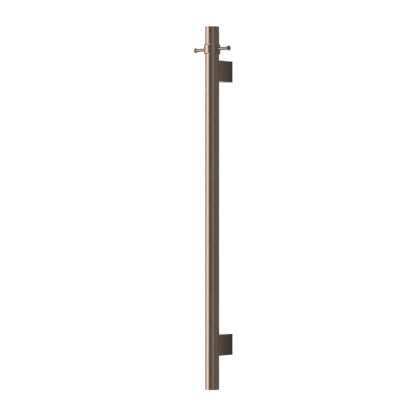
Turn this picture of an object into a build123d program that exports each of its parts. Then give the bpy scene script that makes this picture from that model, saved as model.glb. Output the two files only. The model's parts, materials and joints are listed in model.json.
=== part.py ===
"""Vertical single-bar heated towel rail, wall mounted, with a sliding hook ring.

Millimetres, +Z up. The origin is on the wall, midway between the two wall plates. The wall is the
plane Y = 0, the room is on the -Y side, and the rail's tube stands at Y = -wall_standoff.
"""
from math import radians, sqrt, tan
import os

from build123d import *

# Driving sizes of the rail
rail_height = 900.0
tube_diameter = 35.0
tube_wall = 1.5
wall_standoff = 60.0
bracket_inset = 110.0

# End caps
cap_flange = 2.0
cap_edge_round = 0.5
cap_spigot_length = 10.0
cap_cup_wall = 2.5
seal_section = 1.3
seal_groove_width = 1.5

# Bracket posts
post_height = 52.5
post_side_step = 0.5
post_wall = 2.5
post_web = 4.5
post_edge_round = 0.6
post_back_gap = 0.5

# Wall plates inside the posts
plate_thickness = 3.0
plate_bend = 0.6
plate_ear_length = 15.0
plate_side_gap = 0.4
plate_lift_gap = 3.0
wall_screw_pitch = 18.0
wall_screw_hole = 5.2
cable_hole = 12.0
cable_hole_below_top = 14.25
cable_bore = 8.0
grommet_flange = 1.5
grommet_lip = 2.0

# Screws, by thread size
post_screw = 6.0
post_screw_below_top = 9.25
post_screw_head = 9.2
post_screw_head_height = 4.0
post_screw_reach = 14.0
nut_diameter = 14.0
nut_depth = 9.0
lock_screw = 5.0
lock_screw_inset = 10.0
lock_screw_recess = 0.4
collar_screw = 4.0
earth_screw_size = 4.0
block_screw_size = 2.4
terminal_screw_size = 2.4
hex_share = 0.5
hex_depth_share = 0.6
driver_slot_share = 0.25

# Hook ring
hook_below_top = 56.0
hook_angle = -5.0
collar_height = 25.0
collar_wall = 3.0
collar_chamfer_height = 2.6
collar_chamfer_step = 1.5
collar_shoulder_round = 1.5
liner_wall = 0.9
liner_rib_height = 1.0
liner_rib_step = 0.5
liner_rib_inset = 3.1
liner_slit = 1.5
liner_slit_angle = 40.0
pin_reach = 58.5
pin_diameter = 8.0
pin_flare_diameter = 12.6
pin_flare_length = 6.5
pin_rim = 1.8
pin_edge_round = 0.6
pin_shank = 4.0

# Heating cable and what holds it
cable_diameter = 3.6
cable_offset = 11.0
cable_top_below_end = 45.0
carrier_count = 6
carrier_thickness = 6.0
carrier_core = 8.0
carrier_edge_gap = 0.4
first_carrier_above_bracket = 110.0
last_carrier_above_nut = 3.0
splice_diameter = 5.6
splice_length = 16.0
splice_overlap = 6.0
splice_top_above_bracket = 22.0
cutout_width = 8.0
cutout_depth = 6.0
cutout_length = 20.0
cutout_edge_round = 1.0
cutout_bottom_above_bracket = 40.0
cutout_holder_length = 24.0

# Leads and the supply terminals in the lower post
lead_diameter = 2.0
lead_pitch = 3.2
lead_hole = 10.0
lead_hole_above_bottom = 10.25
lead_bore = 6.4
lead_bend_share = 0.45
terminal_pitch = 8.0
block_width = 26.0
block_depth = 14.0
block_room_below = 7.5
block_room_above = 1.4
block_height = 13.0
clamp_diameter = 4.4
clamp_wall = 1.0
clamp_inset = 1.0
terminal_screw_offset = 3.0
terminal_screw_recess = 1.0
block_screw_head = 4.0
block_screw_head_height = 1.4
block_screw_grip = 3.0
earth_x = 10.6
earth_room_below = 3.15
earth_room_above = 7.4
earth_screw_grip = 5.0
earth_screw_head = 6.8
earth_screw_head_height = 2.4
ring_diameter = 7.2
ring_thickness = 0.8
barrel_diameter = 3.4
barrel_length = 4.0

# Clearances
running_gap = 0.05
thread_gap = 0.05
fitted_gap = 0.05
loose_gap = 0.2
cope_gap = 0.02

# Worked out from the sizes above
tube_radius = tube_diameter / 2
bore_radius = tube_radius - tube_wall
tube_y = -wall_standoff
tube_length = rail_height - 2 * cap_flange
bracket_z = rail_height / 2 - bracket_inset
upper_z = bracket_z
lower_z = -bracket_z
post_width = tube_diameter - 2 * post_side_step
tube_back_y = tube_y + tube_radius
web_y = tube_back_y + post_web
cavity_width = post_width - 2 * post_wall
cavity_height = post_height - 2 * post_wall
liner_bore_radius = tube_radius + running_gap
liner_radius = liner_bore_radius + liner_wall
collar_bore_radius = liner_radius + running_gap
collar_radius = tube_radius + collar_wall
hook_z = rail_height / 2 - hook_below_top
block_y = web_y + block_depth / 2

# Heights inside a post, from its centre: what is in it shares out the room that is left
post_screw_z = post_height / 2 - post_screw_below_top
cable_hole_z = post_height / 2 - cable_hole_below_top
lead_hole_z = lead_hole_above_bottom - post_height / 2
grommet_top_z = lead_hole_z + lead_hole / 2 + grommet_flange
block_free_height = post_screw_z - post_screw_head / 2 - grommet_top_z - block_height
block_lift = block_free_height * block_room_below / (block_room_below + block_room_above)
block_bottom_z = grommet_top_z + block_lift
earth_free_height = block_bottom_z + cavity_height / 2 - ring_diameter - barrel_length
earth_lift = earth_free_height * earth_room_below / (earth_room_below + earth_room_above)
earth_z = ring_diameter / 2 - cavity_height / 2 + earth_lift
block_z = lower_z + block_bottom_z + block_height / 2
block_low = lower_z + block_bottom_z
splice_top_z = lower_z + splice_top_above_bracket
cable_low_z = splice_top_z - splice_overlap
cable_bend_z = rail_height / 2 - cable_top_below_end - cable_offset
cutout_low_z = lower_z + cutout_bottom_above_bracket
cutout_x = lead_pitch
live_x = lead_pitch / 2
lead_z = lower_z + lead_hole_z
rib_centre = collar_height / 2 - liner_rib_inset - liner_rib_height / 2


def along_y(x, y_from, y_to, z, diameter):
    """A cylinder along Y, from y_from to y_to."""
    middle = (y_from + y_to) / 2
    return Pos(x, middle, z) * Rot(90, 0, 0) * Cylinder(diameter / 2, abs(y_to - y_from))


def along_z(x, y, z_from, z_to, diameter):
    """A cylinder along Z, from z_from to z_to."""
    return Pos(x, y, (z_from + z_to) / 2) * Cylinder(diameter / 2, abs(z_to - z_from))


def tube_rod(radius, z_from, z_to):
    """A cylinder on the tube's own axis."""
    return along_z(0, tube_y, z_from, z_to, 2 * radius)


def hex_socket_y(x, y_mouth, direction, z, thread):
    """The hexagonal drive recess of a screw along Y, sunk from y_mouth in the given direction."""
    depth = thread * hex_depth_share
    plane = Plane(origin=(x, y_mouth, z), z_dir=(0, direction, 0))
    return extrude(plane * RegularPolygon(thread * hex_share / 2, 6, major_radius=False), depth)


def lead_path(points):
    """Straight runs joined by tangent arcs, each arc as large as its two runs allow."""
    corners = [Vector(p) for p in points]
    radii = []
    for before, corner, after in zip(corners, corners[1:], corners[2:]):
        run_in = corner - before
        run_out = after - corner
        turn = radians(run_in.get_angle(run_out))
        radii.append(lead_bend_share * min(run_in.length, run_out.length) / tan(turn / 2))
    return FilletPolyline(*corners, radius=radii)


def lead(points, diameter=lead_diameter):
    """A round wire along a route of points."""
    path = lead_path(points)
    section = Plane(origin=path @ 0, z_dir=path % 0) * Circle(diameter / 2)
    return sweep(section, path=path)


def rail_tube():
    """The upright tube, with a screw hole behind each post and the lead hole in the lower one."""
    tube = tube_rod(tube_radius, -tube_length / 2, tube_length / 2)
    tube -= tube_rod(bore_radius, -tube_length / 2, tube_length / 2)
    for centre_z in (upper_z, lower_z):
        tube -= along_y(0, tube_y, web_y, centre_z + post_screw_z, post_screw + 2 * loose_gap)
    tube -= along_y(0, tube_y, web_y, lead_z, lead_hole)
    return tube


def end_cap():
    """A flanged plug with a seal groove, modelled with its flange up and its underside at Z = 0."""
    flange = Pos(0, 0, cap_flange / 2) * Cylinder(tube_radius, cap_flange)
    flange = fillet(flange.edges().sort_by(Axis.Z)[-1], cap_edge_round)
    spigot_radius = bore_radius - fitted_gap
    spigot = Pos(0, 0, -cap_spigot_length / 2) * Cylinder(spigot_radius, cap_spigot_length)
    groove_floor = bore_radius - seal_section - 2 * fitted_gap
    groove = Cylinder(tube_radius, seal_groove_width) - Cylinder(groove_floor, seal_groove_width)
    cup_depth = cap_spigot_length
    cup = Pos(0, 0, -cup_depth / 2) * Cylinder(groove_floor - cap_cup_wall, cup_depth)
    return flange + spigot - Pos(0, 0, -cap_spigot_length / 2) * groove - cup


def cap_seal():
    """The O-ring in an end cap's groove."""
    ring_radius = bore_radius - fitted_gap - seal_section / 2
    return Pos(0, 0, -cap_spigot_length / 2) * Torus(ring_radius, seal_section / 2)


def at_top(piece):
    """Puts a cap piece on the tube's top end."""
    return Pos(0, tube_y, tube_length / 2) * piece


def at_bottom(piece):
    """Puts a cap piece on the tube's bottom end, turned over."""
    return Pos(0, tube_y, -tube_length / 2) * Rot(180, 0, 0) * piece


def post(centre_z):
    """A bracket post: a hollow rectangular casting, coped to the tube, open at the wall end."""
    depth = -tube_y - post_back_gap
    middle_y = -post_back_gap - depth / 2
    shell = Pos(0, middle_y, centre_z) * Box(post_width, depth, post_height)
    shell = fillet(shell.edges().filter_by(Axis.Y), post_edge_round)
    shell -= tube_rod(tube_radius + cope_gap, centre_z - post_height, centre_z + post_height)
    cavity_depth = -web_y
    cavity = Pos(0, web_y + cavity_depth / 2, centre_z) * Box(cavity_width, cavity_depth, cavity_height)
    shell -= cavity
    shell -= along_y(0, tube_y, web_y, centre_z + post_screw_z, post_screw + 2 * loose_gap)
    floor_z = centre_z - post_height / 2
    shell -= along_z(0, -lock_screw_inset, floor_z, floor_z + 2 * post_wall, lock_screw)
    return shell


def lower_post():
    """The lower post also has the lead hole and the tapped holes of the terminal block and the earth."""
    shell = post(lower_z)
    shell -= along_y(0, tube_y, web_y, lead_z, lead_hole)
    for x in (-terminal_pitch / 2, terminal_pitch / 2):
        shell -= along_y(x, web_y - block_screw_grip, web_y, block_z, block_screw_size)
    shell -= along_y(earth_x, web_y - earth_screw_grip, web_y, lower_z + earth_z, earth_screw_size)
    return shell


def post_fixing_screw(centre_z):
    """The socket-head screw that pulls a post onto the tube."""
    z = centre_z + post_screw_z
    head = along_y(0, web_y, web_y + post_screw_head_height, z, post_screw_head)
    shank = along_y(0, web_y - post_screw_reach, web_y, z, post_screw - 2 * thread_gap)
    return head + shank - hex_socket_y(0, web_y + post_screw_head_height, -1, z, post_screw)


def backing_nut(centre_z):
    """The round nut inside the tube, with its back coped to the bore."""
    z = centre_z + post_screw_z
    nut = along_y(0, tube_y + bore_radius - nut_depth, tube_back_y, z, nut_diameter)
    nut &= tube_rod(bore_radius - fitted_gap, z - nut_diameter, z + nut_diameter)
    return nut - along_y(0, tube_y, tube_back_y, z, post_screw)


def wall_plate(centre_z):
    """A folded channel screwed to the wall: its upper ear carries the post, its lower ear is locked."""
    width = cavity_width - 2 * plate_side_gap
    top_z = centre_z + cavity_height / 2
    bottom_z = centre_z - cavity_height / 2 + plate_lift_gap
    height = top_z - bottom_z
    reach = plate_thickness + plate_ear_length
    block = Pos(0, -reach / 2, (top_z + bottom_z) / 2) * Box(width, reach, height)
    bends = block.edges().filter_by(Axis.X).group_by(Axis.Y)[-1]
    block = fillet(bends, plate_bend + plate_thickness)
    inner_height = height - 2 * plate_thickness
    channel = Pos(0, -plate_thickness - reach / 2, (top_z + bottom_z) / 2) * Box(width, reach, inner_height)
    inner_bends = channel.edges().filter_by(Axis.X).group_by(Axis.Y)[-1]
    plate = block - fillet(inner_bends, plate_bend)
    for x in (-wall_screw_pitch / 2, wall_screw_pitch / 2):
        plate -= along_y(x, -plate_thickness, 0, centre_z, wall_screw_hole)
    return plate


def lower_wall_plate():
    """The lower plate also has the supply cable's hole."""
    return wall_plate(lower_z) - along_y(0, -plate_thickness, 0, lower_z + cable_hole_z, cable_hole)


def lock_screw_at(centre_z):
    """The grub screw under a post, which presses up on the wall plate's lower ear."""
    bottom_z = centre_z - post_height / 2 + lock_screw_recess
    top_z = centre_z - cavity_height / 2 + plate_lift_gap
    screw = along_z(0, -lock_screw_inset, bottom_z, top_z, lock_screw - 2 * thread_gap)
    mouth = Plane(origin=(0, -lock_screw_inset, bottom_z), z_dir=(0, 0, 1))
    socket = mouth * RegularPolygon(lock_screw * hex_share / 2, 6, major_radius=False)
    return screw - extrude(socket, lock_screw * hex_depth_share)


def wall_cable_grommet():
    """The supply cable's bush in the lower wall plate, flush with the wall."""
    z = lower_z + cable_hole_z
    sleeve = along_y(0, -plate_thickness - grommet_flange, 0, z, cable_hole - 2 * fitted_gap)
    flange_from = -plate_thickness - grommet_flange
    flange = along_y(0, flange_from, -plate_thickness, z, cable_hole + 2 * grommet_lip)
    return sleeve + flange - along_y(0, flange_from, 0, z, cable_bore)


def tube_grommet():
    """The bush that takes the two leads through the tube's wall and the lower post's web."""
    sleeve = along_y(0, tube_y + bore_radius, web_y, lead_z, lead_hole - 2 * fitted_gap)
    flange = along_y(0, web_y, web_y + grommet_flange, lead_z, lead_hole + 2 * grommet_flange)
    bore = along_y(0, tube_y, web_y + grommet_flange, lead_z, lead_bore)
    return sleeve + flange - bore


def heating_cable():
    """The heating loop: up one side of the tube, round at the top, and down the other side."""
    low_right = (cable_offset, tube_y, cable_low_z)
    high_right = (cable_offset, tube_y, cable_bend_z)
    crown = (0, tube_y, cable_bend_z + cable_offset)
    high_left = (-cable_offset, tube_y, cable_bend_z)
    low_left = (-cable_offset, tube_y, cable_low_z)
    path = Line(low_right, high_right) + ThreePointArc(high_right, crown, high_left)
    path += Line(high_left, low_left)
    section = Plane(origin=low_right, z_dir=(0, 0, 1)) * Circle(cable_diameter / 2)
    return sweep(section, path=path)


def cable_holes(z_from, z_to):
    """Clearance holes for the two legs of the heating cable."""
    size = cable_diameter + 2 * loose_gap
    return [along_z(side * cable_offset, tube_y, z_from, z_to, size) for side in (-1, 1)]


def cable_carrier(index):
    """One silicone disc on the heating cable; the discs are evenly spaced up the tube."""
    first_z = lower_z + first_carrier_above_bracket
    nut_top_z = upper_z + post_screw_z + nut_diameter / 2
    last_z = nut_top_z + last_carrier_above_nut + carrier_thickness / 2
    z = first_z + (last_z - first_z) * index / (carrier_count - 1)
    low_z = z - carrier_thickness / 2
    high_z = z + carrier_thickness / 2
    disc = tube_rod(bore_radius - carrier_edge_gap, low_z, high_z)
    disc -= tube_rod(carrier_core / 2, low_z, high_z)
    for hole in cable_holes(low_z, high_z):
        disc -= hole
    return disc


def cutout_holder():
    """The silicone block that holds the cut-out beside the cable, open underneath."""
    high_z = cutout_low_z + cutout_holder_length
    holder = tube_rod(bore_radius - carrier_edge_gap, cutout_low_z, high_z)
    for hole in cable_holes(cutout_low_z, high_z):
        holder -= hole
    pocket_height = cutout_length + loose_gap
    pocket = Box(cutout_width + 2 * loose_gap, cutout_depth + 2 * loose_gap, pocket_height)
    return holder - Pos(cutout_x, tube_y, cutout_low_z + pocket_height / 2) * pocket


def thermal_cutout():
    """The over-temperature cut-out, with its leads leaving underneath."""
    body = Box(cutout_width, cutout_depth, cutout_length)
    body = fillet(body.edges().filter_by(Axis.Z), cutout_edge_round)
    return Pos(cutout_x, tube_y, cutout_low_z + cutout_length / 2) * body


def splice(side):
    """The crimp sleeve that joins a leg of the heating cable to a lead below it."""
    x = side * cable_offset
    low_z = splice_top_z - splice_length
    sleeve = along_z(x, tube_y, low_z, splice_top_z, splice_diameter)
    sleeve -= along_z(x, tube_y, cable_low_z, splice_top_z, cable_diameter + 2 * fitted_gap)
    lead_top = low_z + splice_overlap
    return sleeve - along_z(x, tube_y, low_z, lead_top, lead_diameter + 2 * fitted_gap)


def cutout_lead():
    """From the cut-out down, round and up into the live splice."""
    x = cutout_x + lead_pitch / 2
    splice_low = splice_top_z - splice_length
    turn_z = splice_low - splice_diameter
    return lead([
        (x, tube_y, cutout_low_z),
        (x, tube_y, turn_z),
        (cable_offset, tube_y, turn_z),
        (cable_offset, tube_y, splice_low + splice_overlap),
    ])


def live_lead():
    """From the cut-out down the tube, out through the grommet and up into the middle clamp."""
    return lead([
        (live_x, tube_y, cutout_low_z),
        (live_x, tube_y, lead_z),
        (live_x, block_y, lead_z),
        (0, block_y, block_low - terminal_pitch / 2),
        (0, block_y, block_z - terminal_screw_offset + terminal_screw_size),
    ])


def neutral_lead():
    """From the neutral splice down the tube, out through the grommet and up into the left clamp."""
    splice_low = splice_top_z - splice_length
    return lead([
        (-cable_offset, tube_y, splice_low + splice_overlap),
        (-cable_offset, tube_y, splice_low - splice_diameter),
        (-live_x, tube_y, lead_z),
        (-live_x, block_y, lead_z),
        (-terminal_pitch, block_y, block_low - terminal_pitch / 2),
        (-terminal_pitch, block_y, block_z - terminal_screw_offset + terminal_screw_size),
    ])


def earth_lead():
    """From the ring terminal's barrel up into the right clamp."""
    barrel_y = web_y + barrel_diameter / 2
    barrel_top = lower_z + earth_z + ring_diameter / 2 + barrel_length
    turn_z = barrel_top + min(lead_diameter, (block_low - barrel_top) / 2)
    return lead([
        (earth_x, barrel_y, barrel_top - barrel_length / 2),
        (earth_x, barrel_y, turn_z),
        (terminal_pitch, block_y, block_low - lead_diameter),
        (terminal_pitch, block_y, block_z - terminal_screw_offset + terminal_screw_size),
    ])


def earth_ring_terminal():
    """A crimp ring terminal: a flat ring on the web, with a barrel that points up."""
    z = lower_z + earth_z
    ring = along_y(earth_x, web_y, web_y + ring_thickness, z, ring_diameter)
    barrel_y = web_y + barrel_diameter / 2
    barrel_low = z + ring_diameter / 2
    barrel = along_z(earth_x, barrel_y, barrel_low - ring_thickness, barrel_low + barrel_length,
                     barrel_diameter)
    barrel -= along_z(earth_x, barrel_y, barrel_low, barrel_low + barrel_length,
                      lead_diameter + 2 * fitted_gap)
    head = along_y(earth_x, web_y + ring_thickness, web_y + barrel_diameter, z, earth_screw_head)
    terminal = ring + (barrel - head)
    return terminal - along_y(earth_x, web_y, web_y + ring_thickness, z, earth_screw_size + 2 * fitted_gap)


def earth_screw():
    """The screw that clamps the ring terminal to the post."""
    z = lower_z + earth_z
    head_y = web_y + ring_thickness
    head = along_y(earth_x, head_y, head_y + earth_screw_head_height, z, earth_screw_head)
    shank_end = web_y - earth_screw_grip + loose_gap
    shank = along_y(earth_x, shank_end, head_y, z, earth_screw_size - 2 * thread_gap)
    return head + shank - hex_socket_y(earth_x, head_y + earth_screw_head_height, -1, z, earth_screw_size)


def terminal_xs():
    """Where the three terminals are, from left to right: neutral, live, earth."""
    return (-terminal_pitch, 0, terminal_pitch)


def terminal_screw_places():
    """The x and z of each of the six clamping screws."""
    heights = (block_z - terminal_screw_offset, block_z + terminal_screw_offset)
    return [(x, z) for x in terminal_xs() for z in heights]


def terminal_block():
    """The three-way terminal block, screwed to the lower post's web."""
    block = Pos(0, block_y, block_z) * Box(block_width, block_depth, block_height)
    block = chamfer(block.faces().sort_by(Axis.Y)[-1].edges(), terminal_screw_recess / 2)
    low_z = block_low
    high_z = block_low + block_height
    for x in terminal_xs():
        block -= along_z(x, block_y, low_z, high_z, clamp_diameter + 2 * fitted_gap)
    front_y = web_y + block_depth
    for x, z in terminal_screw_places():
        block -= along_y(x, block_y, front_y, z, terminal_screw_size + 2 * thread_gap)
    for x in (-terminal_pitch / 2, terminal_pitch / 2):
        block -= along_y(x, web_y, front_y, block_z, block_screw_size + 2 * thread_gap)
    return block


def terminal_clamps():
    """The three brass tubes in the terminal block."""
    low_z = block_low + clamp_inset
    high_z = block_low + block_height - clamp_inset
    clamps = []
    for x in terminal_xs():
        clamp = along_z(x, block_y, low_z, high_z, clamp_diameter)
        clamp -= along_z(x, block_y, low_z, high_z, clamp_diameter - 2 * clamp_wall)
        for z in (block_z - terminal_screw_offset, block_z + terminal_screw_offset):
            clamp -= along_y(x, block_y, web_y + block_depth, z, terminal_screw_size + 2 * thread_gap)
        clamps.append(clamp)
    return Compound(children=clamps)


def terminal_screws():
    """The six screws that clamp the wires."""
    head_y = web_y + block_depth - terminal_screw_recess
    tip_y = block_y + lead_diameter / 2 + fitted_gap
    screws = []
    for x, z in terminal_screw_places():
        screw = along_y(x, tip_y, head_y, z, terminal_screw_size)
        slot = Box(terminal_screw_size, terminal_screw_recess, terminal_screw_size * driver_slot_share)
        screws.append(screw - Pos(x, head_y, z) * slot)
    return Compound(children=screws)


def terminal_block_screws():
    """The two screws that hold the terminal block on the web."""
    front_y = web_y + block_depth
    screws = []
    for x in (-terminal_pitch / 2, terminal_pitch / 2):
        head = along_y(x, front_y, front_y + block_screw_head_height, block_z, block_screw_head)
        shank_end = web_y - block_screw_grip + loose_gap
        shank = along_y(x, shank_end, front_y, block_z, block_screw_size - 2 * thread_gap)
        slot = Box(block_screw_head, block_screw_head_height, block_screw_size * driver_slot_share)
        screws.append(head + shank - Pos(x, front_y + block_screw_head_height, block_z) * slot)
    return Compound(children=screws)


def on_ring(piece):
    """Turns a piece of the ring about the tube's axis, to where the ring stands at rest."""
    return Pos(0, tube_y, 0) * Rot(0, 0, hook_angle) * Pos(0, -tube_y, 0) * piece


def rib_bands(radius, height):
    """Two discs on the tube's axis, one for each rib of the liner."""
    bands = []
    for centre_z in (hook_z - rib_centre, hook_z + rib_centre):
        bands.append(tube_rod(radius, centre_z - height / 2, centre_z + height / 2))
    return bands


def hook_collar():
    """The ring that carries the hook pins: rounded shoulders outside, grooves for the liner's ribs inside."""
    half = collar_height / 2
    shoulder = half - collar_chamfer_height
    end_radius = collar_radius - collar_chamfer_step
    right_side = [
        (collar_bore_radius, -half),
        (end_radius, -half),
        (collar_radius, -shoulder),
        (collar_radius, shoulder),
        (end_radius, half),
        (collar_bore_radius, half),
    ]
    section = make_face(Plane.XZ * Polyline(*right_side, close=True))
    section = fillet(section.vertices().group_by(Axis.X)[-1], collar_shoulder_round)
    ring = Pos(0, tube_y, hook_z) * revolve(section, Axis.Z)
    for band in rib_bands(collar_bore_radius + liner_rib_step, liner_rib_height + 2 * running_gap):
        ring -= band
    ring -= Pos(0, tube_y, hook_z) * Rot(0, 90, 0) * Cylinder(pin_shank / 2, 2 * collar_radius)
    ring -= along_y(0, tube_y, tube_y + collar_radius, hook_z, collar_screw)
    return on_ring(ring)


def hook_liner():
    """The split nylon liner that slides on the tube; its two ribs run in the ring's grooves."""
    low_z = hook_z - collar_height / 2
    high_z = hook_z + collar_height / 2
    liner = tube_rod(liner_radius, low_z, high_z)
    for band in rib_bands(liner_radius + liner_rib_step, liner_rib_height):
        liner += band
    liner -= tube_rod(liner_bore_radius, low_z, high_z)
    slit = Pos(0, collar_radius, 0) * Box(liner_slit, 2 * collar_radius, 2 * collar_height)
    return liner - Pos(0, tube_y, hook_z) * Rot(0, 0, liner_slit_angle) * slit


def pin_shank_rod(side, diameter):
    """The threaded end of a hook pin, from the collar's bore to inside the pin."""
    start = collar_bore_radius + fitted_gap
    length = collar_radius + pin_diameter / 2 - start
    return Pos(side * (start + length / 2), tube_y, hook_z) * Rot(0, 90, 0) * Cylinder(diameter / 2, length)


def hook_pin(side):
    """A turned pin: a straight stem that flares to a flat, rounded rim."""
    stem = pin_diameter / 2
    rim = pin_flare_diameter / 2
    rim_start = pin_reach - pin_rim
    flare_start = rim_start - pin_flare_length
    outline = Polyline((0, 0), (0, stem), (flare_start, stem))
    outline += TangentArc((flare_start, stem), (rim_start, rim), tangent=(1, 0))
    outline += Polyline((rim_start, rim), (pin_reach, rim), (pin_reach, 0), (0, 0))
    turned = revolve(make_face(outline), Axis.X)
    rim_edges = turned.edges().filter_by(GeomType.CIRCLE).sort_by(Axis.X)[-1]
    turned = fillet(rim_edges, pin_edge_round)
    if side < 0:
        turned = Rot(0, 0, 180) * turned
    turned = Pos(0, tube_y, hook_z) * turned
    turned -= tube_rod(collar_radius + cope_gap, hook_z - pin_flare_diameter, hook_z + pin_flare_diameter)
    return on_ring(turned + pin_shank_rod(side, pin_shank - 2 * thread_gap))


def collar_lock_screw():
    """The grub screw in the back of the ring, which presses on the liner."""
    tip_y = tube_y + collar_bore_radius
    outer_y = tube_y + sqrt(collar_radius**2 - (collar_screw / 2) ** 2)
    screw = along_y(0, tip_y, outer_y, hook_z, collar_screw - 2 * thread_gap)
    socket_depth = (outer_y - tip_y) * hex_depth_share
    mouth = Plane(origin=(0, outer_y, hook_z), z_dir=(0, -1, 0))
    socket = mouth * RegularPolygon(collar_screw * hex_share / 2, 6, major_radius=False)
    return on_ring(screw - extrude(socket, socket_depth))


def all_parts():
    """Every sub-part by name."""
    parts = {
        "rail_tube": rail_tube(),
        "top_cap": at_top(end_cap()),
        "bottom_cap": at_bottom(end_cap()),
        "top_cap_seal": at_top(cap_seal()),
        "bottom_cap_seal": at_bottom(cap_seal()),
        "upper_post": post(upper_z),
        "lower_post": lower_post(),
        "upper_post_screw": post_fixing_screw(upper_z),
        "lower_post_screw": post_fixing_screw(lower_z),
        "upper_backing_nut": backing_nut(upper_z),
        "lower_backing_nut": backing_nut(lower_z),
        "upper_wall_plate": wall_plate(upper_z),
        "lower_wall_plate": lower_wall_plate(),
        "upper_lock_screw": lock_screw_at(upper_z),
        "lower_lock_screw": lock_screw_at(lower_z),
        "wall_cable_grommet": wall_cable_grommet(),
        "tube_grommet": tube_grommet(),
        "heating_cable": heating_cable(),
        "cutout_holder": cutout_holder(),
        "thermal_cutout": thermal_cutout(),
        "live_splice": splice(1),
        "neutral_splice": splice(-1),
        "cutout_lead": cutout_lead(),
        "live_lead": live_lead(),
        "neutral_lead": neutral_lead(),
        "earth_lead": earth_lead(),
        "earth_ring_terminal": earth_ring_terminal(),
        "earth_screw": earth_screw(),
        "terminal_block": terminal_block(),
        "terminal_clamps": terminal_clamps(),
        "terminal_screws": terminal_screws(),
        "terminal_block_screws": terminal_block_screws(),
        "hook_collar": hook_collar(),
        "hook_liner": hook_liner(),
        "left_hook_pin": hook_pin(-1),
        "right_hook_pin": hook_pin(1),
        "collar_lock_screw": collar_lock_screw(),
    }
    for index in range(carrier_count):
        parts[f"cable_carrier_{index + 1}"] = cable_carrier(index)
    return parts


os.makedirs("parts", exist_ok=True)
for name, piece in all_parts().items():
    export_step(piece, f"parts/{name}.step")
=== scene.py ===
"""Looks of the upright single-bar heated towel rail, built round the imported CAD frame. Metres, +Z up."""

import json
import math

import bmesh
import bpy
from mathutils import Matrix, Vector


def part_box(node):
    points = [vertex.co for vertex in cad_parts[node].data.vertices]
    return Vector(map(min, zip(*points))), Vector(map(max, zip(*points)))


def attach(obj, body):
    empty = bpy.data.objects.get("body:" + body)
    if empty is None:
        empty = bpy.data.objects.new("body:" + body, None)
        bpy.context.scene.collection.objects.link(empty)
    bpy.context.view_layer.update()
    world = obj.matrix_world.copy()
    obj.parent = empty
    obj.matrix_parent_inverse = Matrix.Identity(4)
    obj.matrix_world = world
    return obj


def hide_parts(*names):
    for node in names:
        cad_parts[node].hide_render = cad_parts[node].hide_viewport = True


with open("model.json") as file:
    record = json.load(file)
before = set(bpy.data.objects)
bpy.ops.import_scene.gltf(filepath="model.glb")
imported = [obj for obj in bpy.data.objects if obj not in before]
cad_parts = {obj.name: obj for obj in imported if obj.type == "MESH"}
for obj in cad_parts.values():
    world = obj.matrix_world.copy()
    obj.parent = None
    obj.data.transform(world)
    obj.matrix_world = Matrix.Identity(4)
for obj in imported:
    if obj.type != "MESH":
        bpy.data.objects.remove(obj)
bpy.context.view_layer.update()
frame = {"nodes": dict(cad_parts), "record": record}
nodes = frame["nodes"]
scene = bpy.context.scene

MM = 0.001
Z = Vector((0, 0, 1))
TURNS = 144          # facets round a large turned piece
PIN_TURNS = 72       # facets round a hook pin
SMALL_TURNS = 48     # facets round a screw-sized hole
ARC_STEPS = 5        # facets in a rounded edge
FINE_ARC_STEPS = 6   # facets in the rounded edges of the ring and the pins
FEW_ARC_STEPS = 3    # facets in an edge that is only just broken
ON_AXIS = 1e-7       # a turned point nearer to the axis than this is on it
CUT_PAST = 1.0 * MM  # how far a cutter runs past what it cuts
SHARP_ANGLE = math.radians(32.0)
NORMAL_WEIGHT = 80   # how far the large faces rule the shading of a rounded edge

# ---------------------------------------------------------------- camera
CAMERA_AZIMUTH = math.radians(40.0)
CAMERA_DISTANCE = 4.961
CAMERA_LEFT = 0.0103
CAMERA_UP = 0.0004
LENS = 173.08

tube_low, tube_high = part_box("rail_tube")
ring_joint = next(joint for joint in frame["record"]["behaviour"]["joints"] if joint["name"] == "hook_turn")
tube_axis = Vector((*ring_joint["pos_m"][:2], (tube_low.z + tube_high.z) / 2))
tube_radius = (tube_high.x - tube_low.x) / 2


def toward(azimuth, elevation=0.0):
    """The direction from the object to something at that azimuth and elevation, in radians."""
    flat = math.cos(elevation)
    return Vector((math.sin(azimuth) * flat, -math.cos(azimuth) * flat, math.sin(elevation)))


def make_camera():
    data = bpy.data.cameras.new("camera")
    data.sensor_width = 36.0
    data.lens = LENS
    data.clip_end = 100.0
    camera = bpy.data.objects.new("camera", data)
    scene.collection.objects.link(camera)
    back = toward(CAMERA_AZIMUTH)
    left = Vector((-math.cos(CAMERA_AZIMUTH), -math.sin(CAMERA_AZIMUTH), 0))
    camera.location = tube_axis + back * CAMERA_DISTANCE + left * CAMERA_LEFT + Z * CAMERA_UP
    camera.rotation_mode = "QUATERNION"
    camera.rotation_quaternion = (-back).to_track_quat("-Z", "Y")
    scene.camera = camera


# ---------------------------------------------------------------- light and stage
# The surround: soft upright panels round the room. Each has the azimuth of its middle, the half width
# of its even part and of all of it, in degrees, and its brightness at the LEVELS below.
LEVELS = [-60, -23, -8, 8, 23, 60]
RAMP_FULL = 2.0      # the brightness that a ramp's white stands for
BASE_GLOW = 0.112
ROOM_PANELS = [
    (54, 5, 27, [0.20] * 6),
    (127, 14, 46, [0.068] * 6),
    (-135, 8, 26, [0.10, 0.10, 1.05, 1.05, 0.60, 0.40]),
    (-104, 10, 34, [0.10, 0.10, 0.26, 0.26, 0.30, 0.26]),
]
KEY_PANEL = (-44, 9, 31, [1.35, 0.15, 1.53, 1.53, 0.15, 1.35])
KEY_COLOUR = (1.0, 0.96, 1.0, 1)


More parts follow.
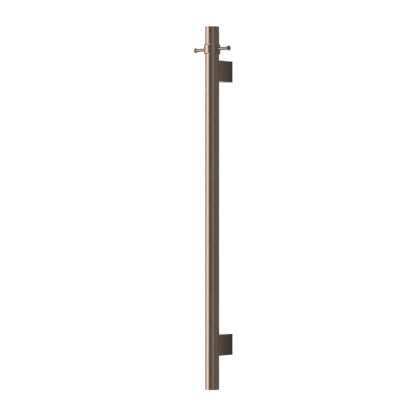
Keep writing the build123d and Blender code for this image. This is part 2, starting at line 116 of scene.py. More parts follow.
def make_world():
    """A dim room with the soft panels, given as the background's brightness in each direction."""
    world = bpy.data.worlds.new("studio")
    world.use_nodes = True
    tree = world.node_tree
    tree.nodes.clear()

    def math_node(kind, first, second):
        node = tree.nodes.new("ShaderNodeMath")
        node.operation = kind
        for socket, value in zip(node.inputs, (first, second)):
            if isinstance(value, (int, float)):
                socket.default_value = value
            else:
                tree.links.new(value, socket)
        return node.outputs[0]

    direction = tree.nodes.new("ShaderNodeTexCoord").outputs["Generated"]
    level = tree.nodes.new("ShaderNodeVectorMath")
    level.operation = "MULTIPLY"
    level.inputs[1].default_value = (1, 1, 0)
    tree.links.new(direction, level.inputs[0])
    heading = tree.nodes.new("ShaderNodeVectorMath")
    heading.operation = "NORMALIZE"
    tree.links.new(level.outputs["Vector"], heading.inputs[0])
    parts = tree.nodes.new("ShaderNodeSeparateXYZ")
    tree.links.new(direction, parts.inputs[0])
    # The ramps need the direction's height as 0 for straight down to 1 for straight up.
    height = math_node("MULTIPLY_ADD", parts.outputs["Z"], 0.5)
    height.node.inputs[2].default_value = 0.5

    def panel(azimuth, full, whole, strengths):
        """The brightness of one panel: its ladder of strengths, faded out past its even part."""
        facing = tree.nodes.new("ShaderNodeVectorMath")
        facing.operation = "DOT_PRODUCT"
        facing.inputs[1].default_value = toward(math.radians(azimuth))
        tree.links.new(heading.outputs["Vector"], facing.inputs[0])
        soft_edge = tree.nodes.new("ShaderNodeMapRange")
        soft_edge.interpolation_type = "SMOOTHSTEP"
        soft_edge.inputs["From Min"].default_value = math.cos(math.radians(whole))
        soft_edge.inputs["From Max"].default_value = math.cos(math.radians(full))
        tree.links.new(facing.outputs["Value"], soft_edge.inputs["Value"])
        ladder = tree.nodes.new("ShaderNodeValToRGB")
        stops = ladder.color_ramp.elements
        while len(stops) < len(LEVELS):
            stops.new(0.5)
        for stop, elevation, strength in zip(stops, LEVELS, strengths):
            stop.position = math.sin(math.radians(elevation)) / 2 + 0.5
            share = strength / RAMP_FULL
            stop.color = (share, share, share, 1)
        tree.links.new(height, ladder.inputs[0])
        brightness = math_node("MULTIPLY", ladder.outputs["Color"], RAMP_FULL)
        return math_node("MULTIPLY", brightness, soft_edge.outputs["Result"])

    total = BASE_GLOW
    for values in ROOM_PANELS:
        total = math_node("ADD", panel(*values), total)
    room = tree.nodes.new("ShaderNodeBackground")
    room.inputs["Color"].default_value = (1, 1, 1, 1)
    tree.links.new(total, room.inputs["Strength"])
    key = tree.nodes.new("ShaderNodeBackground")
    key.inputs["Color"].default_value = KEY_COLOUR
    tree.links.new(panel(*KEY_PANEL), key.inputs["Strength"])
    both = tree.nodes.new("ShaderNodeAddShader")
    tree.links.new(room.outputs[0], both.inputs[0])
    tree.links.new(key.outputs[0], both.inputs[1])
    output = tree.nodes.new("ShaderNodeOutputWorld")
    tree.links.new(both.outputs[0], output.inputs["Surface"])
    scene.world = world
    scene.view_settings.view_transform = "Standard"


# The soft box above the rail: where it is from the middle of the rail, its sides and its brightness.
OVERHEAD_ELEVATION = math.radians(88)
OVERHEAD_DISTANCE = 3.2
OVERHEAD_SIDE = 1.6
OVERHEAD_RADIANCE = 0.45


def make_overhead_light():
    """A square soft box that faces the middle of the rail from almost straight above, on the room's side."""
    data = bpy.data.lights.new("overhead", "AREA")
    data.shape = "RECTANGLE"
    data.size = OVERHEAD_SIDE
    data.size_y = OVERHEAD_SIDE
    data.energy = OVERHEAD_RADIANCE * math.pi * OVERHEAD_SIDE ** 2
    light = bpy.data.objects.new("overhead", data)
    scene.collection.objects.link(light)
    direction = toward(0.0, OVERHEAD_ELEVATION)
    light.location = tube_axis + direction * OVERHEAD_DISTANCE
    light.rotation_mode = "QUATERNION"
    light.rotation_quaternion = (-direction).to_track_quat("-Z", "Y")


def emission_material(name, strength):
    """Plain white light of one strength."""
    material = bpy.data.materials.new(name)
    material.use_nodes = True
    tree = material.node_tree
    tree.nodes.clear()
    output = tree.nodes.new("ShaderNodeOutputMaterial")
    glow = tree.nodes.new("ShaderNodeEmission")
    glow.inputs["Color"].default_value = (1, 1, 1, 1)
    glow.inputs["Strength"].default_value = strength
    tree.links.new(glow.outputs["Emission"], output.inputs["Surface"])
    return material


# Painted contact shadow beside each post: a card, seen only in reflection, whose glow dims towards the post
# where a wall's shade would fall. Its brightness at its full depth from the post's side, and the fall's power.
PAINTED_SHADOW_GLOW = 0.128
PAINTED_SHADOW_CURVE = 0.3
PAINTED_SHADOW_DEPTH = 0.046
PAINTED_SHADOW_CLEAR = 1.0 * MM      # from the post's side
PAINTED_SHADOW_BEHIND = 2.0 * MM     # behind the wall's face
PAINTED_SHADOW_MARGIN = 10.0 * MM    # past the post's top and bottom
UPPER_PAINTED_SHADOW_SHARE = 1.0
LOWER_PAINTED_SHADOW_SHARE = 0.9

SURROUND_RADIUS = 14.0
SURROUND_GLOW = 1.05
FLOOR_RADIUS = 4.0
FLOOR_HEIGHT = -1.2
FLOOR_GLOW = 0.75


def make_painted_shadow_card(name, node, share):
    """A dimly glowing card behind one side of a post, seen only in its reflection: a painted contact shadow of
    a wall.
    """
    low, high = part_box(node)
    bm = bmesh.new()
    near, far = high.x + PAINTED_SHADOW_CLEAR, high.x + PAINTED_SHADOW_DEPTH
    bottom, top = low.z - PAINTED_SHADOW_MARGIN, high.z + PAINTED_SHADOW_MARGIN
    spots = [(near, bottom), (far, bottom), (far, top), (near, top)]
    bm.faces.new([bm.verts.new((x, PAINTED_SHADOW_BEHIND, z)) for x, z in spots])
    shadow_card = link_mesh(name, bm)
    # The card's glow is painted shade: it dims towards the post, as a wall's contact shadow would.
    material = emission_material(name, 1.0)
    tree = material.node_tree
    place = tree.nodes.new("ShaderNodeTexCoord").outputs["Object"]
    parts = tree.nodes.new("ShaderNodeSeparateXYZ")
    tree.links.new(place, parts.inputs[0])
    ramp = tree.nodes.new("ShaderNodeMapRange")
    ramp.inputs["From Min"].default_value = high.x
    ramp.inputs["From Max"].default_value = high.x + PAINTED_SHADOW_DEPTH
    tree.links.new(parts.outputs["X"], ramp.inputs["Value"])
    curve = tree.nodes.new("ShaderNodeMath")
    curve.operation = "POWER"
    curve.inputs[1].default_value = PAINTED_SHADOW_CURVE
    tree.links.new(ramp.outputs["Result"], curve.inputs[0])
    brightness = tree.nodes.new("ShaderNodeMath")
    brightness.operation = "MULTIPLY"
    brightness.inputs[1].default_value = PAINTED_SHADOW_GLOW * share
    tree.links.new(curve.outputs[0], brightness.inputs[0])
    glow = next(n for n in tree.nodes if n.type == "EMISSION")
    tree.links.new(brightness.outputs[0], glow.inputs["Strength"])
    shadow_card.data.materials.append(material)
    shadow_card.visible_camera = False
    shadow_card.visible_diffuse = False
    shadow_card.visible_shadow = False
    shadow_card.visible_transmission = False


def make_stage():
    """A floor disc and a white surround that only the camera sees, and the painted-shadow cards beside the
    posts.
    """
    surround_mesh = bmesh.new()
    bmesh.ops.create_icosphere(surround_mesh, subdivisions=4, radius=SURROUND_RADIUS)
    surround = link_mesh("surround", surround_mesh)
    surround.data.materials.append(emission_material("white_surround", SURROUND_GLOW))
    floor_mesh = bmesh.new()
    bmesh.ops.create_circle(floor_mesh, cap_ends=True, segments=128, radius=FLOOR_RADIUS)
    floor = link_mesh("floor", floor_mesh)
    floor.location = (tube_axis.x, tube_axis.y, FLOOR_HEIGHT)
    material = bpy.data.materials.new("pale_floor")
    material.use_nodes = True
    shader = material.node_tree.nodes["Principled BSDF"]
    shader.inputs["Base Color"].default_value = (0.9, 0.9, 0.89, 1)
    shader.inputs["Roughness"].default_value = 0.9
    shader.inputs["Emission Color"].default_value = (1, 1, 1, 1)
    shader.inputs["Emission Strength"].default_value = FLOOR_GLOW
    floor.data.materials.append(material)
    for thing in (surround, floor):
        thing.visible_glossy = False
        thing.visible_diffuse = False
        thing.visible_transmission = False
        thing.visible_shadow = False
    # Painted contact shadows beside the two posts, seen only in reflection.
    make_painted_shadow_card("upper_painted_shadow_card", "upper_post", UPPER_PAINTED_SHADOW_SHARE)
    make_painted_shadow_card("lower_painted_shadow_card", "lower_post", LOWER_PAINTED_SHADOW_SHARE)


# ---------------------------------------------------------------- mesh tools
def link_mesh(name, bm):
    """Makes an object of the faces, which point outwards, and puts it in the scene."""
    bmesh.ops.recalc_face_normals(bm, faces=bm.faces)
    mesh = bpy.data.meshes.new(name)
    bm.to_mesh(mesh)
    bm.free()
    made = bpy.data.objects.new(name, mesh)
    scene.collection.objects.link(made)
    return made


def rounded(corners, radii, steps=ARC_STEPS):
    """A closed outline whose corners are rounded to the given radii."""
    outline = []
    count = len(corners)
    for i, (corner, radius) in enumerate(zip(corners, radii)):
        here = Vector(corner)
        if not radius:
            outline.append(here)
            continue
        before = (Vector(corners[i - 1]) - here).normalized()
        after = (Vector(corners[(i + 1) % count]) - here).normalized()
        half = before.angle(after) / 2
        centre = here + (before + after).normalized() * radius / math.sin(half)
        start = here + before * radius / math.tan(half) - centre
        end = here + after * radius / math.tan(half) - centre
        for k in range(steps + 1):
            share = k / steps
            point = start.lerp(end, share).normalized() * radius
            outline.append(centre + point)
    return outline


def turn(name, outline, place, axis="Z", facets=TURNS):
    """A solid turned from a closed outline of (radius, height) points."""
    bm = bmesh.new()
    rings = []
    for radius, height in outline:
        if radius < ON_AXIS:
            rings.append([bm.verts.new((0, 0, height))] * facets)
            continue
        rings.append([
            bm.verts.new((radius * math.cos(2 * math.pi * k / facets),
                          radius * math.sin(2 * math.pi * k / facets), height))
            for k in range(facets)])
    for ring, following in zip(rings, rings[1:] + rings[:1]):
        if ring[0] is ring[1] and following[0] is following[1]:
            continue
        for k in range(facets):
            following_k = (k + 1) % facets
            corners = []
            for vert in (ring[k], ring[following_k], following[following_k], following[k]):
                if vert not in corners:
                    corners.append(vert)
            bm.faces.new(corners)
    spin = {"Z": Matrix.Identity(4), "X": Matrix.Rotation(math.pi / 2, 4, "Y"),
            "-X": Matrix.Rotation(-math.pi / 2, 4, "Y"), "Y": Matrix.Rotation(-math.pi / 2, 4, "X")}[axis]
    bmesh.ops.transform(bm, matrix=Matrix.Translation(place) @ spin, verts=bm.verts)
    return link_mesh(name, bm)


def rod(place, radius, low, high, axis="Z", facets=SMALL_TURNS):
    """A cutter: a cylinder along an axis through place."""
    outline = [(0, low), (radius, low), (radius, high), (0, high)]
    return turn("cutter", outline, place, axis, facets)


def extrude_outline(name, outline, low, high, along, edge=0.0):
    """A prism of a closed outline, with both ends' edges broken by edge. along is the axis it runs on."""
    bm = bmesh.new()
    count = len(outline)
    middle = sum((Vector(p) for p in outline), Vector((0, 0))) / count
    levels = [(low, 1), (low + edge, 0), (high - edge, 0), (high, 1)] if edge else [(low, 0), (high, 0)]
    loops = []
    for height, inset in levels:
        loop = []
        for i, point in enumerate(outline):
            u, v = point
            if inset:
                before = Vector(outline[i - 1])
                after = Vector(outline[(i + 1) % count])
                tangent = (after - before).normalized()
                inward = Vector((-tangent.y, tangent.x))
                if inward.dot(middle - Vector(point)) < 0:
                    inward = -inward
                u, v = Vector(point) + inward * edge
            spots = {"X": (height, u, v), "Y": (u, height, v), "Z": (u, v, height)}
            loop.append(bm.verts.new(spots[along]))
        loops.append(loop)
    for loop, following in zip(loops, loops[1:]):
        for i in range(count):
            j = (i + 1) % count
            bm.faces.new((loop[i], loop[j], following[j], following[i]))
    bm.faces.new(loops[0])
    bm.faces.new(loops[-1])
    return link_mesh(name, bm)


def rectangle(u_low, u_high, v_low, v_high, radius):
    """The outline of a rectangle with rounded corners."""
    corners = [(u_low, v_low), (u_high, v_low), (u_high, v_high), (u_low, v_high)]
    return rounded(corners, [radius] * 4)


def cut(made, *cutters):
    """Cuts the cutters out of a piece and removes them."""
    for cutter in cutters:
        modifier = made.modifiers.new("cut", "BOOLEAN")
        modifier.operation = "DIFFERENCE"
        modifier.solver = "EXACT"
        modifier.object = cutter
    bake_modifiers(made)
    for cutter in cutters:
        bpy.data.objects.remove(cutter)
    return made


def bake_modifiers(made):
    """Makes what the modifiers give the piece's own mesh."""
    depsgraph = bpy.context.evaluated_depsgraph_get()
    mesh = bpy.data.meshes.new_from_object(made.evaluated_get(depsgraph))
    made.modifiers.clear()
    made.data = mesh


def finish_piece(made, body, slot_name, material, *stands_for):
    """Shades a piece, gives it its material, ties it to its body and hides the CAD nodes it stands for."""
    mesh = made.data
    mesh.shade_smooth()
    mesh.set_sharp_from_angle(angle=SHARP_ANGLE)
    modifier = made.modifiers.new("weighted_normals", "WEIGHTED_NORMAL")
    modifier.keep_sharp = True
    modifier.weight = NORMAL_WEIGHT
    bake_modifiers(made)
    made.data.materials.clear()
    made.data.materials.append(material)
    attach(made, body)
    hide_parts(*stands_for)


# ---------------------------------------------------------------- materials
class Shader:
    """A small helper that wires one Principled material."""

    def __init__(self, name, base, roughness, metallic=0.0):
        self.material = bpy.data.materials.new(name)
        self.material.use_nodes = True
        self.material.diffuse_color = (*base, 1)
        self.tree = self.material.node_tree
        self.bsdf = self.tree.nodes["Principled BSDF"]
        self.bsdf.inputs["Base Color"].default_value = (*base, 1)
        self.bsdf.inputs["Roughness"].default_value = roughness
        self.bsdf.inputs["Metallic"].default_value = metallic
        self.place = self.new("ShaderNodeTexCoord").outputs["Object"]

    def new(self, kind, **inputs):
        node = self.tree.nodes.new(kind)
        for key, value in inputs.items():
            node.inputs[key].default_value = value
        return node

    def link(self, source, target):
        self.tree.links.new(source, target)

    def stretched(self, scale, offset=(0, 0, 0)):
        mapping = self.new("ShaderNodeMapping")
        mapping.inputs["Scale"].default_value = scale
        mapping.inputs["Location"].default_value = offset
        self.link(self.place, mapping.inputs["Vector"])
        return mapping.outputs["Vector"]

    def noise(self, scale, detail=3.0, rough=0.55, offset=(0, 0, 0)):
        node = self.new("ShaderNodeTexNoise", Scale=1.0, Detail=detail, Roughness=rough)
        self.link(self.stretched(scale, offset), node.inputs["Vector"])
        return node.outputs["Fac"]

    def spread(self, value, low, high, from_low=0.3, from_high=0.7):
        node = self.new("ShaderNodeMapRange")
        node.inputs["From Min"].default_value = from_low
        node.inputs["From Max"].default_value = from_high
        node.inputs["To Min"].default_value = low
        node.inputs["To Max"].default_value = high
        self.link(value, node.inputs["Value"])
        return node.outputs["Result"]

    def mix(self, share, first, second):
        node = self.tree.nodes.new("ShaderNodeMix")
        node.data_type = "RGBA"
        # A Mix node's colours are its inputs 6 and 7, and its output 2.
        for socket, colour in ((node.inputs[6], first), (node.inputs[7], second)):
            if isinstance(colour, tuple):
                socket.default_value = (*colour, 1)
            else:
                self.link(colour, socket)
        self.link(share, node.inputs[0])
        return node.outputs[2]

    def add(self, first, second, share=1.0):
        node = self.tree.nodes.new("ShaderNodeMath")
        node.operation = "MULTIPLY_ADD"
        self.link(second, node.inputs[0])
        node.inputs[1].default_value = share
        self.link(first, node.inputs[2])
        return node.outputs[0]

    def bump(self, height, strength, distance):
        node = self.new("ShaderNodeBump", Strength=strength, Distance=distance)
        self.link(height, node.inputs["Height"])
        self.link(node.outputs["Normal"], self.bsdf.inputs["Normal"])

    def set(self, socket, value):
        if hasattr(value, "node"):
            self.link(value, self.bsdf.inputs[socket])
        else:
            self.bsdf.inputs[socket].default_value = value


BRONZE = (0.62, 0.475, 0.365)
BRONZE_DARK = (0.585, 0.44, 0.335)
BRONZE_LIGHT = (0.65, 0.505, 0.395)
BRONZE_ROUGHNESS = 0.27
PIN_PAINTED_SHADE = 0.8            # painted shade: how bright the small turned pins' bronze is against the rest, darkened so the pins look less lit
PIN_ROUGHNESS = 0.30
GLOSS_BELOW = 0.03         # how far the roughness of plated metal goes below and above its own
GLOSS_ABOVE = 0.04
GRAIN_STRENGTH = 0.04
GRAIN_HEIGHT = 0.006 * MM
TOOL_RINGS = 3200.0        # how quickly the rings on a turned face vary, per metre
TOOL_RING_STRENGTH = 0.3
SPARK_STRENGTH = 0.25
SPARK_HEIGHT = 0.03 * MM
SPARK_CLOUD = 40.0         # how quickly a moulding's colour clouds, per metre


def with_painted_shade(colour):
    """The bronze of the small turned pins, darkened as painted shade."""
    return tuple(PIN_PAINTED_SHADE * channel for channel in colour)


def brushed(name, grain, smudge=(14, 14, 9), base=BRONZE, dark=BRONZE_DARK, light=BRONZE_LIGHT,
            roughness=BRONZE_ROUGHNESS):
    """Plated metal with a fine directional grain: grain is how quickly it varies along X, Y and Z."""
    shader = Shader(name, base, roughness, 1.0)
    fine = shader.noise(grain, detail=4.0, rough=0.6)
    coarse = shader.noise(tuple(g * 0.23 for g in grain), detail=2.0, offset=(3.1, 1.7, 5.3))
    cloud = shader.noise(smudge, detail=3.0, offset=(7.0, 2.0, 4.0))
    streaks = shader.add(fine, coarse, 0.6)
    tone = shader.add(cloud, streaks, 0.35)
    span = (0.55, 1.05)
    shader.set("Base Color", shader.mix(shader.spread(tone, 0.0, 1.0, *span), dark, light))
    shader.set("Roughness", shader.spread(tone, roughness - GLOSS_BELOW, roughness + GLOSS_ABOVE, *span))
    shader.bump(streaks, GRAIN_STRENGTH, GRAIN_HEIGHT)
    return shader.material


def turned_face(name, centre):
    """The face of a turned cap, with the faint rings of the tool about its centre."""
    shader = Shader(name, BRONZE, BRONZE_ROUGHNESS, 1.0)
    shift = shader.new("ShaderNodeVectorMath")
    shift.operation = "SUBTRACT"
    shader.link(shader.place, shift.inputs[0])
    shift.inputs[1].default_value = centre
    distance = shader.tree.nodes.new("ShaderNodeVectorMath")
    distance.operation = "LENGTH"
    shader.link(shift.outputs["Vector"], distance.inputs[0])
    rings = shader.new("ShaderNodeTexNoise", Scale=TOOL_RINGS, Detail=3.0, Roughness=0.6)
    rings.noise_dimensions = "1D"
    shader.link(distance.outputs["Value"], rings.inputs["W"])
    cloud = shader.noise((16, 16, 16), detail=3.0)
    tone = shader.add(cloud, rings.outputs["Fac"], 0.5)
    span = (0.5, 1.0)
    shader.set("Base Color", shader.mix(shader.spread(tone, 0.0, 1.0, *span), BRONZE_DARK, BRONZE_LIGHT))
    shader.set("Roughness", shader.spread(tone, BRONZE_ROUGHNESS - GLOSS_BELOW,
                                          BRONZE_ROUGHNESS + GLOSS_ABOVE, *span))
    shader.bump(rings.outputs["Fac"], TOOL_RING_STRENGTH, GRAIN_HEIGHT)
    return shader.material


def moulded(name, base, light, roughness, grain=900.0, metallic=0.0):
    """A fine spark texture with slight clouding of colour and gloss: rubber, plastic and small soft metal."""
    shader = Shader(name, base, roughness, metallic)
    fine = shader.noise((grain,) * 3, detail=5.0, rough=0.65)
    soft = shader.noise((SPARK_CLOUD,) * 3, detail=3.0, offset=(2.0, 5.0, 1.0))
    tone = shader.spread(shader.add(soft, fine, 0.3), 0.0, 1.0, 0.45, 0.85)
    shader.set("Base Color", shader.mix(tone, base, light))
    shader.set("Roughness", shader.spread(soft, roughness - 0.06, roughness + 0.06))
    shader.bump(fine, SPARK_STRENGTH, SPARK_HEIGHT)
    return shader.material


def striped(name, base, stripe, roughness):
    """Insulation with a coloured stripe that winds round it."""
    shader = Shader(name, base, roughness)
    wave = shader.new("ShaderNodeTexWave", Scale=1.0, Distortion=0.4, Detail=1.0)
    shader.link(shader.stretched((220, 90, 130)), wave.inputs["Vector"])
    fine = shader.noise((700, 700, 700), detail=3.0)
    edge = shader.spread(wave.outputs["Fac"], 0.0, 1.0, 0.55, 0.62)
    shader.set("Base Color", shader.mix(edge, base, stripe))
    shader.set("Roughness", shader.spread(fine, roughness - 0.05, roughness + 0.05))
    shader.bump(fine, 0.2, 0.00002)
    return shader.material


make_camera()
make_world()
make_overhead_light()
make_stage()

# How quickly the brushed grain varies along X, Y and Z, by the way a piece is turned or ground.
AROUND_Z = (55, 55, 5200)
AROUND_X = (5200, 70, 70)
ALONG_Y = (4800, 45, 4800)

bronze_round = brushed("bronze_brushed_round", AROUND_Z)
bronze_long = brushed("bronze_brushed_long", ALONG_Y)
# The pins' bronze is a darker copy of the same bronze: painted shade, so the pins look less lit than the tube.
bronze_pin_painted_shade = brushed("bronze_turned_pin_painted_shade", AROUND_X, base=with_painted_shade(BRONZE), dark=with_painted_shade(BRONZE_DARK),
                     light=with_painted_shade(BRONZE_LIGHT), roughness=PIN_ROUGHNESS)
STEEL = (0.56, 0.57, 0.58)
steel_turned = brushed("steel_turned", (900, 5200, 900), base=STEEL, dark=(0.46, 0.46, 0.47),
                       light=(0.62, 0.62, 0.63), roughness=0.3)
zinc = brushed("zinc_plated_steel", (5200, 260, 60), smudge=(90, 90, 90), base=(0.62, 0.63, 0.65),
               dark=(0.50, 0.51, 0.54), light=(0.72, 0.72, 0.72), roughness=0.36)
rubber = moulded("black_rubber_moulded", (0.020, 0.020, 0.021), (0.045, 0.044, 0.043), 0.62)
nylon = moulded("black_nylon_moulded", (0.022, 0.020, 0.018), (0.050, 0.046, 0.042), 0.42)
cable_skin = moulded("cable_silicone_extruded", (0.42, 0.10, 0.06), (0.56, 0.17, 0.11), 0.48, grain=1400.0)
carrier_skin = moulded("carrier_silicone_moulded", (0.70, 0.69, 0.66), (0.82, 0.81, 0.79), 0.58)
case_skin = moulded("cutout_case_moulded", (0.030, 0.030, 0.032), (0.075, 0.072, 0.070), 0.40)
tin = moulded("tinned_copper_crimped", (0.55, 0.54, 0.52), (0.74, 0.73, 0.71), 0.34, metallic=1.0)
brown_skin = moulded("brown_lead_extruded", (0.12, 0.050, 0.022), (0.19, 0.085, 0.040), 0.42)
blue_skin = moulded("blue_lead_extruded", (0.025, 0.10, 0.38), (0.05, 0.16, 0.50), 0.42)
green_skin = striped("green_lead_striped", (0.10, 0.40, 0.07), (0.78, 0.70, 0.06), 0.42)
block_skin = moulded("block_nylon_moulded", (0.78, 0.78, 0.74), (0.88, 0.88, 0.85), 0.45)
brass = moulded("clamp_brass_drawn", (0.62, 0.44, 0.17), (0.80, 0.62, 0.30), 0.30, metallic=1.0)

slot_materials = {
    "brushed_bronze": bronze_round, "screw_steel": steel_turned, "plate_steel": zinc, "black_rubber": rubber,
    "black_nylon": nylon, "cable_silicone": cable_skin, "carrier_silicone": carrier_skin,
    "cutout_case": case_skin, "tinned_copper": tin, "brown_lead": brown_skin, "blue_lead": blue_skin,
    "green_lead": green_skin, "block_nylon": block_skin, "clamp_brass": brass,
}
for subpart in frame["record"]["subparts"]:
    carried = nodes[subpart["node"]]
    for slot_index in range(len(carried.material_slots)):
        carried.material_slots[slot_index].link = "DATA"
        carried.material_slots[slot_index].material = slot_materials[subpart["material_slot"]]

# ---------------------------------------------------------------- tube and caps
TUBE_WALL = 1.5 * MM
EDGE_BREAK = 0.12 * MM
bore_radius = tube_radius - TUBE_WALL
axis_foot = Vector((tube_axis.x, tube_axis.y, 0))
upper_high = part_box("upper_post")[1]
lower_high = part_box("lower_post")[1]


def middle(node):
    low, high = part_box(node)
    return (low + high) / 2


def hole_along_y(node, radius, y_low, y_high):
    """A cutter on the middle of a screw or bush that runs along Y."""
    centre = middle(node)
    return rod(Vector((centre.x, 0, centre.z)), radius, y_low, y_high, "Y")


SCREW_HOLE = 3.2 * MM
LEAD_HOLE = 5.0 * MM
LONG_ROW = 0.1       # a facet longer than this is split into LONG_ROW_STEPS
LONG_ROW_STEPS = 36


def make_tube():
    """The tube, with its holes for the posts' screws and for the leads."""
    corners = [(bore_radius, tube_low.z), (tube_radius, tube_low.z), (tube_radius, tube_high.z),
               (bore_radius, tube_high.z)]
    outline = rounded(corners, [EDGE_BREAK] * 4, FEW_ARC_STEPS)
    rows = []
    for here, following in zip(outline, outline[1:] + outline[:1]):
        rows.append(tuple(here))
        if abs(following.y - here.y) > LONG_ROW:
            rows += [tuple(here.lerp(following, k / LONG_ROW_STEPS)) for k in range(1, LONG_ROW_STEPS)]
    tube = turn("rail_tube_brushed", rows, axis_foot)
    return cut(tube,
               hole_along_y("upper_post_screw", SCREW_HOLE, tube_axis.y, upper_high.y),
               hole_along_y("lower_post_screw", SCREW_HOLE, tube_axis.y, lower_high.y),
               hole_along_y("tube_grommet", LEAD_HOLE, tube_axis.y, lower_high.y))


CAP_ROUND = 0.5 * MM
CAP_FLANGE = 2.0 * MM
CAP_WALL = 2.5 * MM
CUP_ROUND = 0.6 * MM
SPIGOT_GAP = 0.05 * MM
SPIGOT_ROUND = 0.15 * MM
SEAL_GROOVE_DEPTH = 1.4 * MM    # from the tube's bore
SEAL_GROOVE_HALF = 0.75 * MM


def make_cap(node, flange_z, direction):
    """The plug of a tube end: its flange outside, its grooved spigot and cup inside."""
    low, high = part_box(node)
    depth = high.z - low.z - CAP_FLANGE
    spigot = bore_radius - SPIGOT_GAP
    groove = bore_radius - SEAL_GROOVE_DEPTH
    cup = groove - CAP_WALL
    corners = [(0, 0), (cup, 0), (cup, -depth), (spigot, -depth), (spigot, -depth / 2 - SEAL_GROOVE_HALF),
               (groove, -depth / 2 - SEAL_GROOVE_HALF), (groove, -depth / 2 + SEAL_GROOVE_HALF),
               (spigot, -depth / 2 + SEAL_GROOVE_HALF), (spigot, 0), (tube_radius, 0),
               (tube_radius, CAP_FLANGE), (0, CAP_FLANGE)]
    radii = [0, CUP_ROUND] + [SPIGOT_ROUND] * 6 + [0, EDGE_BREAK, CAP_ROUND, 0]
    outline = [(r, direction * h) for r, h in rounded(corners, radii)]
    return turn(node + "_turned", outline, axis_foot + Z * flange_z)


# ---------------------------------------------------------------- posts
POST_EDGE = 0.6 * MM
POST_END_EDGE = 0.25 * MM
POST_WALL = 2.5 * MM
POST_WEB = 4.5 * MM
CAVITY_ROUND = 1.0 * MM
COPE_GAP = 0.02 * MM
LOCK_HOLE = 2.5 * MM
LOCK_HOLE_DEPTH = 4.0 * MM
LEAD_HOLE_DEPTH = 10.0 * MM
EARTH_HOLE = 2.0 * MM
EARTH_HOLE_DEPTH = 5.0 * MM
WELL_PAST = 10.0 * MM      # how far the largest cutters run past a post
web_y = tube_axis.y + tube_radius + POST_WEB


def make_post(node, screw, lock, others=()):
    """A post, coped to the tube and hollow behind its web. others are more holes in the web."""
    low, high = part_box(node)
    outline = rectangle(low.x, high.x, low.z, high.z, POST_EDGE)
    post = extrude_outline(node + "_brushed", outline, tube_axis.y, high.y, "Y", edge=POST_END_EDGE)
    cope = rod(axis_foot, tube_radius + COPE_GAP, low.z - WELL_PAST, high.z + WELL_PAST, facets=TURNS * 2)
    cavity_outline = rectangle(low.x + POST_WALL, high.x - POST_WALL, low.z + POST_WALL, high.z - POST_WALL,
                               CAVITY_ROUND)
    cavity = extrude_outline("cutter", cavity_outline, web_y, WELL_PAST, "Y")
    lock_middle = middle(lock)
    lock_hole = rod(Vector((lock_middle.x, lock_middle.y, 0)), LOCK_HOLE,
                    low.z - CUT_PAST, low.z + LOCK_HOLE_DEPTH)
    cutters = [cope, cavity, hole_along_y(screw, SCREW_HOLE, tube_axis.y, web_y + CUT_PAST), lock_hole]
    for other, radius, depth in others:
        cutters.append(hole_along_y(other, radius, web_y - depth, web_y + CUT_PAST))
    return cut(post, *cutters)


# ---------------------------------------------------------------- hook ring
LINER_WALL = 0.9 * MM
RIB_STEP = 0.5 * MM
RIB_HEIGHT = 1.0 * MM
RIB_INSET = 3.1 * MM
RUNNING_GAP = 0.05 * MM
LINER_SLIT = 1.5 * MM
LINER_SLIT_ANGLE = math.radians(40)
LINER_EDGE = 0.15 * MM
SLIT_EDGE = 0.1 * MM
COLLAR_STEP = 1.5 * MM       # the shoulder: how much smaller the ring is at its ends, and over what height
COLLAR_SHOULDER = 2.6 * MM
COLLAR_LOCK_HOLE = 2.0 * MM
PIN_STEM = 4.0 * MM
PIN_SHANK = 1.95 * MM
PIN_HOLE = 2.0 * MM
PIN_FLARE = 6.5 * MM
PIN_RIM = 1.8 * MM
PIN_ROUND = 0.6 * MM
PIN_ROOT = 1.0 * MM          # how far a stem starts inside the ring, before it is coped
SHANK_LEAD_IN = 0.3 * MM
FLARE_STEPS = 14
STEM_STEPS = 8

collar_low, collar_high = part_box("hook_collar")
collar_radius = (collar_high.y - collar_low.y) / 2
hook_z = (collar_low.z + collar_high.z) / 2
liner_bore = tube_radius + RUNNING_GAP
liner_outer = liner_bore + LINER_WALL
collar_bore = liner_outer + RUNNING_GAP
past_collar = collar_radius * 1.1    # where a cutter is clear of the ring


def pin_direction(node):
    """A pin's level direction out from the tube's axis, from the middle of its far end."""
    offsets = [(vert.co - axis_foot).xy for vert in nodes[node].data.vertices]
    farthest = max(offset.length for offset in offsets)
    far = [offset for offset in offsets if offset.length > farthest - 1.0 * MM]
    return sum(far, Vector((0, 0))).normalized()


def pin_reach(node):
    """How far a pin's end face is from the tube's axis."""
    direction = pin_direction(node)
    return max((vert.co - axis_foot).xy.dot(direction) for vert in nodes[node].data.vertices)


ring_angle = math.atan2(pin_direction("right_hook_pin").y, pin_direction("right_hook_pin").x)


def turn_ring(made):
    """Turns a piece of the ring about the tube's axis, to where the CAD has it."""
    made.data.transform(Matrix.Translation(axis_foot) @ Matrix.Rotation(ring_angle, 4, "Z")
                        @ Matrix.Translation(-axis_foot))
    return made


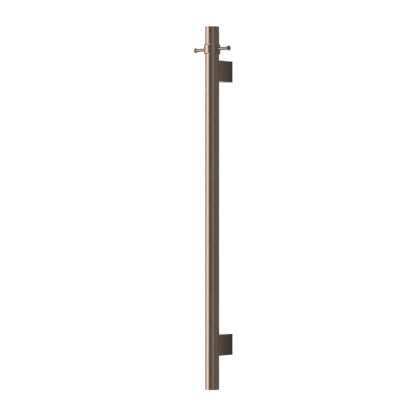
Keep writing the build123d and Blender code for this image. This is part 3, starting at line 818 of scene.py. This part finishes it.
def make_collar():
    """The ring, with grooves for the liner's ribs and holes for the pins and the lock screw."""
    low, high = collar_low.z, collar_high.z
    small = collar_radius - COLLAR_STEP
    groove = collar_bore + RIB_STEP
    near = RIB_INSET - RUNNING_GAP
    far = RIB_INSET + RIB_HEIGHT + RUNNING_GAP
    corners = [(collar_bore, low), (small, low), (collar_radius, low + COLLAR_SHOULDER),
               (collar_radius, high - COLLAR_SHOULDER), (small, high), (collar_bore, high),
               (collar_bore, high - near), (groove, high - near),
               (groove, high - far), (collar_bore, high - far),
               (collar_bore, low + far), (groove, low + far),
               (groove, low + near), (collar_bore, low + near)]
    radii = [0.1 * MM, 0.25 * MM, 1.5 * MM, 1.5 * MM, 0.25 * MM, 0.1 * MM] + [0.05 * MM] * 8
    collar = turn("hook_collar_turned", rounded(corners, radii, FINE_ARC_STEPS), axis_foot)
    across = rod(axis_foot + Z * hook_z, PIN_HOLE, -past_collar, past_collar, "X")
    lock_hole = rod(Vector((tube_axis.x, 0, hook_z)), COLLAR_LOCK_HOLE,
                    tube_axis.y, tube_axis.y + past_collar, "Y")
    return turn_ring(cut(collar, across, lock_hole))


def make_liner():
    """The slit liner between the ring and the tube, with its two ribs."""
    low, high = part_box("hook_liner")
    rib = liner_outer + RIB_STEP
    near = RIB_INSET
    far = RIB_INSET + RIB_HEIGHT
    corners = [(liner_bore, low.z), (liner_outer, low.z), (liner_outer, low.z + near), (rib, low.z + near),
               (rib, low.z + far), (liner_outer, low.z + far), (liner_outer, high.z - far), (rib, high.z - far),
               (rib, high.z - near), (liner_outer, high.z - near), (liner_outer, high.z), (liner_bore, high.z)]
    liner = turn("hook_liner_moulded", rounded(corners, [LINER_EDGE] * 12, FEW_ARC_STEPS), axis_foot)
    slit_outline = rectangle(-LINER_SLIT / 2, LINER_SLIT / 2, 0, 2 * liner_outer, SLIT_EDGE)
    slit = extrude_outline("cutter", slit_outline, low.z - CUT_PAST, high.z + CUT_PAST, "Z")
    slit.matrix_world = Matrix.Translation(axis_foot) @ Matrix.Rotation(LINER_SLIT_ANGLE, 4, "Z")
    return cut(liner, slit)


def make_pin(node, side):
    """A pin: its shank in the ring, its stem and its flared end. side is 1 for right and -1 for left."""
    low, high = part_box(node)
    reach = pin_reach(node)
    rim = (high.z - low.z) / 2
    shank_start = collar_bore + RUNNING_GAP
    rim_start = reach - PIN_RIM
    flare_start = rim_start - PIN_FLARE
    # The flare is one arc, tangent to the stem.
    rise = rim - PIN_STEM
    flare_radius = (PIN_FLARE ** 2 + rise ** 2) / (2 * rise)
    half_turn = math.asin(PIN_FLARE / flare_radius)
    flare = []
    for k in range(FLARE_STEPS + 1):
        angle = half_turn * k / FLARE_STEPS
        flare.append((PIN_STEM + flare_radius * (1 - math.cos(angle)),
                      flare_start + flare_radius * math.sin(angle)))
    tip = rounded([(rim, rim_start), (rim, reach), (0, reach)], [0, PIN_ROUND, 0], FINE_ARC_STEPS)
    stem_start = collar_radius - PIN_ROOT
    outline = [(0, shank_start), (PIN_SHANK - SHANK_LEAD_IN, shank_start),
               (PIN_SHANK, shank_start + SHANK_LEAD_IN), (PIN_SHANK, stem_start), (PIN_STEM, stem_start)]
    outline += [(PIN_STEM, stem_start + (flare_start - stem_start) * k / STEM_STEPS)
                for k in range(1, STEM_STEPS)]
    outline += flare + [tuple(p) for p in tip[1:]]
    centre = axis_foot + Z * hook_z
    pin = turn(node + "_turned", outline, centre, "X" if side > 0 else "-X", PIN_TURNS)
    # The stem's root is coped to the collar; the shank goes on through it.
    cope = rod(centre, collar_radius + COPE_GAP, -2 * PIN_STEM, 2 * PIN_STEM, facets=TURNS * 2)
    passage = rod(centre, PIN_HOLE, -past_collar, past_collar, "X")
    return turn_ring(cut(pin, cut(cope, passage)))


finish_piece(make_tube(), "rail", "brushed_bronze", bronze_round, "rail_tube")
for cap_node, cap_z, cap_side in (("top_cap", tube_high.z, 1), ("bottom_cap", tube_low.z, -1)):
    cap_face = turned_face(cap_node + "_bronze_face",
                           (tube_axis.x, tube_axis.y, cap_z + cap_side * CAP_FLANGE))
    finish_piece(make_cap(cap_node, cap_z, cap_side), "rail", "brushed_bronze", cap_face, cap_node)
finish_piece(make_post("upper_post", "upper_post_screw", "upper_lock_screw"), "rail", "brushed_bronze",
             bronze_long, "upper_post")
finish_piece(make_post("lower_post", "lower_post_screw", "lower_lock_screw",
                       [("tube_grommet", LEAD_HOLE, LEAD_HOLE_DEPTH),
                        ("earth_screw", EARTH_HOLE, EARTH_HOLE_DEPTH)]),
             "rail", "brushed_bronze", bronze_long, "lower_post")
finish_piece(make_collar(), "hook_ring", "brushed_bronze", bronze_round, "hook_collar")
finish_piece(make_liner(), "hook_liner", "black_nylon", nylon, "hook_liner")
finish_piece(make_pin("left_hook_pin", -1), "hook_ring", "brushed_bronze", bronze_pin_painted_shade, "left_hook_pin")
finish_piece(make_pin("right_hook_pin", 1), "hook_ring", "brushed_bronze", bronze_pin_painted_shade, "right_hook_pin")
